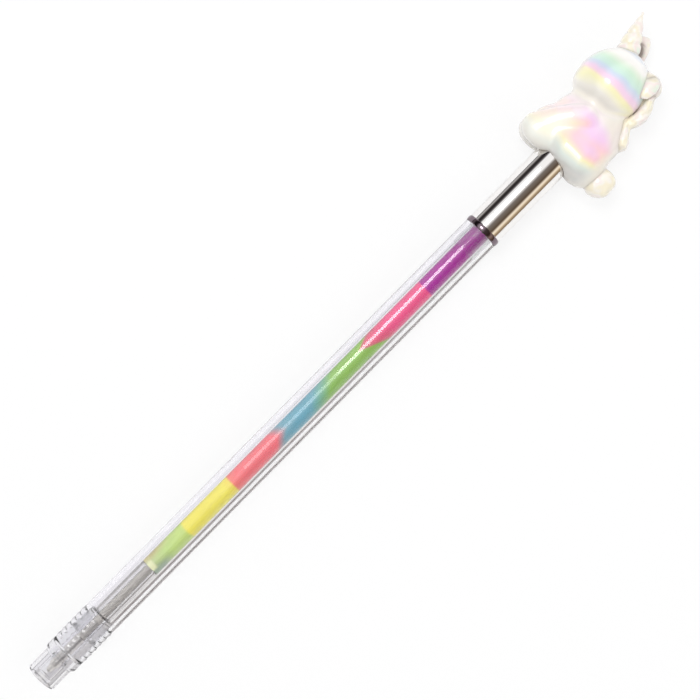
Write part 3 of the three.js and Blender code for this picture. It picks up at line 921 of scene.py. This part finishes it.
def strand(p, line, half_width, half_depth, width_at, twist=None):
    """Distance to a flattened strand along a line. Its width follows width_at, and a twist swells it
    by the angle round it."""
    best = np.full(p.shape[:-1], 1e3, np.float32)
    count = len(line) - 1
    for i in range(count):
        start, end = line[i].astype(np.float32), line[i + 1].astype(np.float32)
        run = end - start
        length = np.linalg.norm(run)
        share = np.clip(((p - start) @ run) / (length * length), 0, 1)
        offset = p - (start + share[..., None] * run)
        t = (i + share) / count
        width = half_width * width_at(t)
        depth = half_depth * width_at(t)
        unit = run / length
        side = np.array([-unit[1], unit[0], 0], np.float32)
        side /= np.linalg.norm(side)
        deep = np.cross(unit, side)
        across, through, over = offset @ side, offset @ deep, offset @ unit
        if twist is not None:
            swell = twist(np.arctan2(through, across), t)
            width, depth = width * swell, depth * swell
        reach = np.sqrt((across / width) ** 2 + (through / depth) ** 2)
        beside = (reach - 1) * np.minimum(width, depth)
        past_end = np.sqrt(np.maximum(beside, 0) ** 2 + over ** 2) + np.minimum(beside, 0)
        best = np.minimum(best, np.where(over ** 2 > 1e-8, past_end, beside))
    return best


def front_leg(p):
    line = [[11.6, 1.6, 5.0], [10.0, 3.3, 4.9], [7.9, 5.2, 4.4], [5.2, 6.8, 3.8], [3.2, 7.7, 3.3]]
    return np.minimum.reduce([limb(p, start, end, 2.4, 2.4, 1.6) for start, end in zip(line, line[1:])])


def body(m):
    """Belly, chest, shoulder, rump, haunch, flank, nape, hoof and front leg."""
    whole = ellipsoid(m, [5.2, 0.1, 0], [8.2, 9.8, 6.2], below=5.0)
    for mass in (
        ellipsoid(m, [11.4, 1.0, 0], [5.3, 6.9, 5.2]),
        ellipsoid(m, [10.4, -3.6, 0], [6.2, 5.4, 5.0]),
        ellipsoid(m, [3.7, -5.5, 0], [4.6, 4.3, 5.2], below=3.8),
        ellipsoid(m, [5.4, -2.6, 2.4], [9.4, 6.2, 4.4], below=4.4),
        limb(m, [4.4, -0.5, 4.4], [4.4, -4.4, 5.0], 3.0, 3.0, 1.25),
        ellipsoid(m, [14.8, -3.2, 0], [3.2, 3.5, 3.6]),
        ellipsoid(m, [2.9, 6.2, 2.6], [3.7, 4.3, 2.9], below=3.1),
        front_leg(m),
    ):
        whole = melt(whole, mass, 1.3)
    return whole


def head(m):
    skull = ellipsoid(m, [20.3, 2.3, 0], [9.3, 7.7, 7.5], below=6.2)
    muzzle = ellipsoid(m, [17.6, 4.4, 0], [3.4, 4.6, 4.6])
    return melt(skull, muzzle, 1.6)


HORN_ROOT = (27.6, 4.3, 0)
HORN_WAY = (9.5, 4.1, 0)
HORN_LENGTH = 10.2
HORN_RADIUS = 2.65
HORN_TURNS = 4.2
HORN_RIDGE = 0.16  # how deep the spiral groove is, as a share of the radius


def horn(p):
    """A cone with a spiral groove."""
    root, way = np.array(HORN_ROOT), np.array(HORN_WAY)
    tip_at = root + way / np.hypot(way[0], way[1]) * HORN_LENGTH

    def taper(t):
        return np.maximum(1 - t ** 1.7, 0.12)

    def groove(angle, t):
        phase = angle - 2 * np.pi * HORN_TURNS * t
        return 1 - HORN_RIDGE * (1 - np.abs(np.sin(phase / 2))) ** 2

    line = smooth_line([root, (root + tip_at) / 2, tip_at], 32)
    return strand(p, line, HORN_RADIUS, HORN_RADIUS, taper, groove)


def ear_hollow(p):
    """What is cut from the far ear."""
    line = smooth_line([[28.0, 3.5, -1.3], [30.6, 3.6, -2.3], [32.8, 3.6, -3.1]], 12)
    return strand(p, line, 1.9, 0.9, lambda t: np.maximum((1 - t ** 3) ** 0.8, 0.2))


def far_ear(p):
    """An upright, hollow leaf."""
    line = smooth_line([[27.6, 3.7, -2.6], [31.4, 3.8, -3.7], [35.0, 3.4, -4.7]], 20)
    blade = strand(p, line, 3.1, 1.1, lambda t: np.maximum((1 - t ** 2.8) ** 0.7, 0.12))
    return np.maximum(blade, -ear_hollow(p))


def near_ear(p):
    """A leaf that hangs down beside the crown."""
    line = smooth_line([[28.0, -3.2, 2.4], [26.2, -3.9, 3.5], [23.2, -4.3, 4.1]], 14)
    return strand(p, line, 1.7, 1.1,
                  lambda t: np.sqrt(np.maximum(np.sin(np.pi * (0.12 + 0.84 * t)), 0.02)))


def crown(p):
    return ellipsoid(p, [26.4, -3.4, 0.9], [2.7, 3.2, 3.0])


def mane(p):
    """A wavy strand down the back, with locks along it and a round end."""
    line = smooth_line([[28.0, -3.4, 0.3], [26.4, -5.0, 0.4], [24.4, -5.6, 0.4], [22.4, -6.6, 0.4],
                        [20.2, -6.9, 0.3], [18.6, -6.5, 0.2], [17.0, -6.1, 0.2], [15.2, -6.9, 0.2],
                        [13.4, -8.1, 0.2], [12.3, -8.5, 0.2]], 44)

    def wave(t):
        past = np.maximum(t - 0.9, 0) / 0.1
        swell = 1.05 + 0.12 * np.cos(2 * np.pi * (2.2 * t + 0.1)) + 0.12 * t
        return swell * np.sqrt(np.maximum(1 - past ** 2, 0.05))

    def locks(angle, t):
        return 1 - 0.12 * np.abs(np.cos(2.5 * angle + 1.3 * np.sin(9 * t))) ** 6

    return strand(p, line, 1.25, 2.4, wave, locks)


def tail(p):
    """Three lobes melted into a round tuft."""
    tuft = ellipsoid(p, [4.4, -10.3, 0], [3.4, 3.1, 3.1])
    for up, size in ((1.0, 2.3), (-0.6, 2.0)):
        tuft = melt(tuft, ellipsoid(p, [4.4 + up, -11.3, 0.4], [size, 2.3, 2.3]), 0.5)
    return tuft


def figure_parts(p):
    """Signed distances of the figure's parts, each with how softly it melts into the ones before."""
    m = p.copy()
    m[..., 2] = np.abs(m[..., 2])
    return [(body(m), 0), (head(m), 1.8), (horn(p), 0.25), (far_ear(p), 0.4), (crown(p), 0.8),
            (near_ear(p), 0.2), (mane(p), 0.18), (tail(p), 0.25)]


TRIM_FROM = 2  # the parts from the horn on keep a cream lacquer
SOCKET_RADIUS = 4.1
SOCKET_TOP = FERRULE_TOP + 0.3 - FIGURE_BASE


def socket(p):
    """Distance to the bore that takes the ferrule."""
    return np.maximum(np.hypot(p[..., 1], p[..., 2]) - SOCKET_RADIUS, p[..., 0] - SOCKET_TOP)


def figure_distance(p):
    whole = None
    for part, softness in figure_parts(p):
        whole = part if whole is None else melt(whole, part, softness)
    return np.maximum(whole, -socket(p))


def figure_zones(p):
    """What the lacquer needs for each point: painted shade in its creases and round the socket, its
    share of trim and of head, and painted shade by how far it lies in the far ear's hollow."""
    p = p.astype(np.float32)
    parts = np.stack([part for part, _ in figure_parts(p)])
    order = np.argsort(parts, axis=0)[:2]
    nearest = np.take_along_axis(parts, order, axis=0)

    def near(distance, reach):
        """1 at the surface and inside it, and less with the distance from it."""
        return np.exp(-np.maximum(distance, 0) / reach)

    def share_of(difference, width):
        """Goes from 1 to 0 where the difference passes 0."""
        return 1 / (1 + np.exp(np.clip(difference / width, -30, 30)))

    # Painted shade: darker in the creases between parts, weaker where head meets body, and round the
    # socket under the figure.
    painted_crease_shade = near(nearest[1] - nearest[0], 0.45)
    painted_crease_shade *= np.where(order.max(axis=0) < TRIM_FROM, 0.2, 1.0)
    painted_socket_shade = near(socket(p), 0.9) * (p[..., 0] < 1.6)
    trim = share_of(parts[TRIM_FROM:].min(axis=0) - parts[:TRIM_FROM].min(axis=0), 0.12)
    on_head = share_of(parts[1] - parts[0], 0.5)
    # Painted shade in the far ear's hollow.
    painted_ear_shade = near(ear_hollow(p), 0.25) * (p[..., 0] > 28.6)
    return np.stack([np.maximum(painted_crease_shade, painted_socket_shade), trim, on_head, painted_ear_shade], 1)


def surface_of(distance, low, high, cell):
    """A closed quad skin where the distance is zero: one vertex in each crossed cell."""
    counts = [math.ceil((end - start) / cell) + 1 for start, end in zip(low, high)]
    axes = [start + cell * np.arange(n, dtype=np.float32) for start, n in zip(low, counts)]
    field = np.empty(counts, np.float32)
    for i in range(0, counts[0], 16):
        grid = np.stack(np.meshgrid(axes[0][i:i + 16], axes[1], axes[2], indexing="ij"), -1)
        field[i:i + 16] = distance(grid.astype(np.float32))
    inside = field < 0
    nx, ny, nz = counts
    total = np.zeros((nx - 1, ny - 1, nz - 1, 3), np.float32)
    crossings = np.zeros((nx - 1, ny - 1, nz - 1), np.float32)
    corners = [(i, j, k) for i in (0, 1) for j in (0, 1) for k in (0, 1)]

    def view(array, shift):
        i, j, k = shift
        return array[i:nx - 1 + i, j:ny - 1 + j, k:nz - 1 + k]

    for a in corners:
        for axis in range(3):
            if a[axis]:
                continue
            b = tuple(v + (n == axis) for n, v in enumerate(a))
            fa, fb = view(field, a), view(field, b)
            crossed = (fa < 0) != (fb < 0)
            share = np.where(crossed, fa / np.where(crossed, fa - fb, 1), 0)
            for n in range(3):
                total[..., n] += np.where(crossed, a[n] + (share if n == axis else 0), 0)
            crossings += crossed
    active = crossings > 0
    index = np.full(active.shape, -1, np.int64)
    index[active] = np.arange(active.sum())
    cells = np.argwhere(active)
    vertices = (cells + total[active] / crossings[active][:, None]) * cell + np.array(low)
    quads = []
    for axis in range(3):
        u, v = [(1, 2), (2, 0), (0, 1)][axis]
        lower = [slice(None)] * 3
        upper = [slice(None)] * 3
        lower[axis] = slice(0, counts[axis] - 1)
        upper[axis] = slice(1, counts[axis])
        a, b = inside[tuple(lower)], inside[tuple(upper)]
        for flip, where in ((False, a & ~b), (True, ~a & b)):
            edges = np.argwhere(where)
            edges = edges[(edges[:, u] > 0) & (edges[:, v] > 0)]
            edges = edges[(edges[:, u] < counts[u] - 1) & (edges[:, v] < counts[v] - 1)]
            step_u, step_v = np.eye(3, dtype=int)[u], np.eye(3, dtype=int)[v]
            ring = [edges - step_u - step_v, edges - step_v, edges, edges - step_u]
            face = np.stack([index[tuple(r.T)] for r in ring], 1)
            quads.append(face[:, ::-1] if flip else face)
    return vertices, np.vstack(quads)


def relax(vertices, quads, rounds, amount):
    """Evens out the skin, first inwards and then back outwards, so it keeps its size."""
    ends = np.vstack([quads[:, [0, 1]], quads[:, [1, 2]], quads[:, [2, 3]], quads[:, [3, 0]]])
    count = np.bincount(ends[:, 0], minlength=len(vertices)).astype(float)[:, None]
    for i in range(rounds * 2):
        mean = np.zeros_like(vertices)
        np.add.at(mean, ends[:, 0], vertices[ends[:, 1]])
        step = amount if i % 2 == 0 else -amount * 1.04
        vertices = vertices + step * (mean / count - vertices)
    return vertices


FIGURE_LOW = (-1.6, -14.8, -8.6)
FIGURE_HIGH = (37.8, 11.6, 8.6)


def unicorn_piece():
    cell = 0.2
    vertices, quads = surface_of(figure_distance, FIGURE_LOW, FIGURE_HIGH, cell)
    base = np.array([FIGURE_BASE, 0, 0])
    vertices = relax(vertices.astype(float), quads, 4, 0.5) + base
    low, high = [np.array(corner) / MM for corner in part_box("unicorn")]
    vertices = np.clip(vertices, low, high)
    faces = [tuple(int(i) for i in quad) for quad in quads]
    figure = make_object("unicorn_pearl", vertices, faces, PEARL, 180)
    zones = figure.data.color_attributes.new("zones", "FLOAT_COLOR", "POINT")
    zones.data.foreach_set("color", figure_zones(vertices - base).astype(np.float32).ravel())
    return figure


place(unicorn_piece(), "topper", "pearl", "unicorn")


# Floor: the pen rests on its cap and on the figure's flank

WEIGHT_AT = 110.0  # where the pen's weight lies along it


def resting_line():
    """Slope and height of the floor that touches the pen at both ends, in metres."""
    points = np.vstack([[(v.co.x, v.co.z) for v in node.data.vertices] for node in nodes.values()])
    best = None
    for slope in np.linspace(-0.06, 0.02, 801):
        height = np.min(points[:, 1] - slope * points[:, 0])
        reach = height + slope * WEIGHT_AT * MM
        if best is None or reach > best[0]:
            best = (reach, slope, height)
    return best[1], best[2]


FLOOR_SLOPE, FLOOR_HEIGHT = resting_line()
FLOOR_HALF = 1.5  # in metres
SLOPE_MARGIN = 0.02  # how far the slope goes on past the pen's ends, in metres
SHADE_HALF = 20.0
PAPER_SHARE = 0.18  # how much of the paper's own light shows in its white
# Painted shadow of the pen, seen only through clear plastic: the paper's colour against the distance
# across the pen, from its right side to its left.
FLOOR_SHADE = [
    (-20.0, (254, 254, 254)),
    (-9.0, (252, 252, 252)),
    (-7.4, (236, 234, 233)),
    (-6.5, (205, 200, 198)),
    (-5.8, (140, 131, 128)),
    (-5.4, (104, 92, 90)),
    (-4.9, (104, 92, 90)),
    (-4.3, (128, 119, 117)),
    (-1.4, (128, 119, 117)),
    (-0.4, (180, 174, 172)),
    (0.4, (240, 238, 238)),
    (3.0, (249, 248, 251)),
    (6.0, (248, 246, 251)),
    (20.0, (250, 249, 252)),
]


def floor_material():
    """Pale paper: white with the pen's faint shadow, and a painted shadow beside the pen that shows only
    through clear plastic.
    """
    material, tree, out = new_material("pale paper")
    paper = add(tree, "ShaderNodeBsdfPrincipled",
                inputs={"Base Color": (0.93, 0.93, 0.935, 1), "Roughness": 0.9,
                        "Specular IOR Level": 0.1})
    white = add(tree, "ShaderNodeEmission", inputs={"Color": (1, 1, 1, 1), "Strength": 1.0})
    shaded = add(tree, "ShaderNodeEmission", inputs={"Strength": 1.0})
    point = split(tree, object_point(tree))
    across = maths(tree, "DIVIDE", point[1], MM)
    shade_of_pen = ramp_of(tree, across, -SHADE_HALF, SHADE_HALF, FLOOR_SHADE)
    # The painted shadow is fainter beside the cap.
    by_the_cap = step_of(tree, point[0], 21.0 * MM, 14.0 * MM, 0.55)
    shade_of_pen = blend(tree, by_the_cap, shade_of_pen, linear(248, 247, 248))
    tree.links.new(shade_of_pen, shaded.inputs["Color"])
    path = add(tree, "ShaderNodeLightPath").outputs
    through = mix_of(tree, path["Is Transmission Ray"], paper.outputs[0], shaded.outputs[0])
    seen = mix_of(tree, PAPER_SHARE, white.outputs[0], paper.outputs[0])
    surface = mix_of(tree, path["Is Camera Ray"], through, seen)
    tree.links.new(surface, out.inputs["Surface"])
    return material


def make_floor():
    """The floor slopes under the pen only, and is level beyond both of its ends."""
    slope_from, slope_to = cad_low[0] - SLOPE_MARGIN, cad_high[0] + SLOPE_MARGIN
    corners = []
    for x in (-FLOOR_HALF, slope_from, slope_to, FLOOR_HALF):
        height = FLOOR_HEIGHT + FLOOR_SLOPE * min(max(x, slope_from), slope_to)
        corners += [(x, -FLOOR_HALF, height), (x, FLOOR_HALF, height)]
    strips = [(i, i + 2, i + 3, i + 1) for i in (0, 2, 4)]
    mesh = bpy.data.meshes.new("floor")
    mesh.from_pydata(corners, [], strips)
    floor = bpy.data.objects.new("floor", mesh)
    scene.collection.objects.link(floor)
    mesh.materials.append(floor_material())


make_floor()


# Light: a white room for soft light, with the studio's bright and dark sides for the gloss

# The room's colours against the angle round the pen, in degrees from straight above it
ROOM_SIDES = [
    (-180, (225, 225, 228)),
    (-96, (200, 200, 202)),
    (-92, (96, 95, 96)),
    (-86, (132, 130, 130)),
    (-79, (188, 185, 183)),
    (-72, (120, 116, 116)),
    (-66, (40, 36, 36)),
    (-54, (48, 44, 44)),
    (-46, (110, 106, 107)),
    (-39, (250, 250, 250)),
    (-4, (254, 253, 252)),
    (6, (176, 171, 168)),
    (12, (122, 114, 108)),
    (28, (110, 98, 88)),
    (42, (90, 76, 62)),
    (47, (124, 106, 88)),
    (57, (250, 236, 214)),
    (65, (242, 224, 196)),
    (74, (176, 154, 124)),
    (86, (136, 116, 94)),
    (94, (176, 160, 142)),
    (100, (240, 230, 220)),
    (180, (225, 225, 228)),
]


def make_world():
    world = bpy.data.worlds.new("studio")
    scene.world = world
    world.use_nodes = True
    tree = world.node_tree
    tree.nodes.clear()
    out = tree.nodes.new("ShaderNodeOutputWorld")
    point = split(tree, add(tree, "ShaderNodeTexCoord").outputs["Generated"])
    path = add(tree, "ShaderNodeLightPath").outputs
    angle = maths(tree, "ARCTAN2", maths(tree, "MULTIPLY", point[1], -1.0), point[2])
    room = ramp_of(tree, maths(tree, "DEGREES", angle), -180, 180, ROOM_SIDES)
    # Inside clear plastic the room's sides are spread out into an even grey.
    inside = maths(tree, "MINIMUM", path["Transmission Depth"], 1.0)
    room = blend(tree, maths(tree, "MULTIPLY", inside, 0.75), room, (0.4, 0.4, 0.415, 1))
    gloss = add(tree, "ShaderNodeBackground", inputs={"Strength": 1.0})
    tree.links.new(room, gloss.inputs["Color"])
    soft = add(tree, "ShaderNodeBackground", inputs={"Color": (1, 1, 1, 1), "Strength": 0.58})
    seen = add(tree, "ShaderNodeBackground", inputs={"Color": (1, 1, 1, 1), "Strength": 1.0})
    bent = maths(tree, "MAXIMUM", path["Is Glossy Ray"], path["Is Transmission Ray"])
    light = mix_of(tree, bent, soft.outputs[0], gloss.outputs[0])
    # Through the plastic the backdrop is white at the level, and the room above shows only as a gloss.
    level = step_of(tree, point[2], 0.75, 0.45)
    level = maths(tree, "MAXIMUM", level, maths(tree, "MINIMUM", path["Diffuse Depth"], 1.0))
    through = maths(tree, "MULTIPLY", path["Is Transmission Ray"], level)
    backdrop = maths(tree, "MAXIMUM", path["Is Camera Ray"], through)
    tree.links.new(mix_of(tree, backdrop, light, seen.outputs[0]), out.inputs["Surface"])


make_world()


def area_light(name, at, aim, size, power, glossy=True):
    data = bpy.data.lights.new(name, "AREA")
    data.shape = "RECTANGLE"
    data.size, data.size_y = size
    data.energy = power
    light = bpy.data.objects.new(name, data)
    scene.collection.objects.link(light)
    light.location = at
    direction = Vector(aim) - Vector(at)
    light.rotation_euler = direction.to_track_quat("-Z", "Y").to_euler()
    light.visible_glossy = glossy
    light.visible_transmission = False


# Lights are given in metres and watts.
# A long softbox stands beside the pen: bright over its upper end, weaker towards the cap.
area_light("key", (0.18, 0.175, 0.574), (0.18, 0, 0), (0.15, 0.18), 0.76)
area_light("key_end", (0.05, 0.175, 0.574), (0.05, 0, 0), (0.11, 0.18), 0.17)
area_light("key_soft", (0.15, 0.175, 0.574), (0.15, 0, 0), (0.3, 0.3), 0.95, glossy=False)
area_light("fill", (0.3, -0.5, 0.6), (0.12, 0, 0), (0.6, 0.5), 1.05, glossy=False)
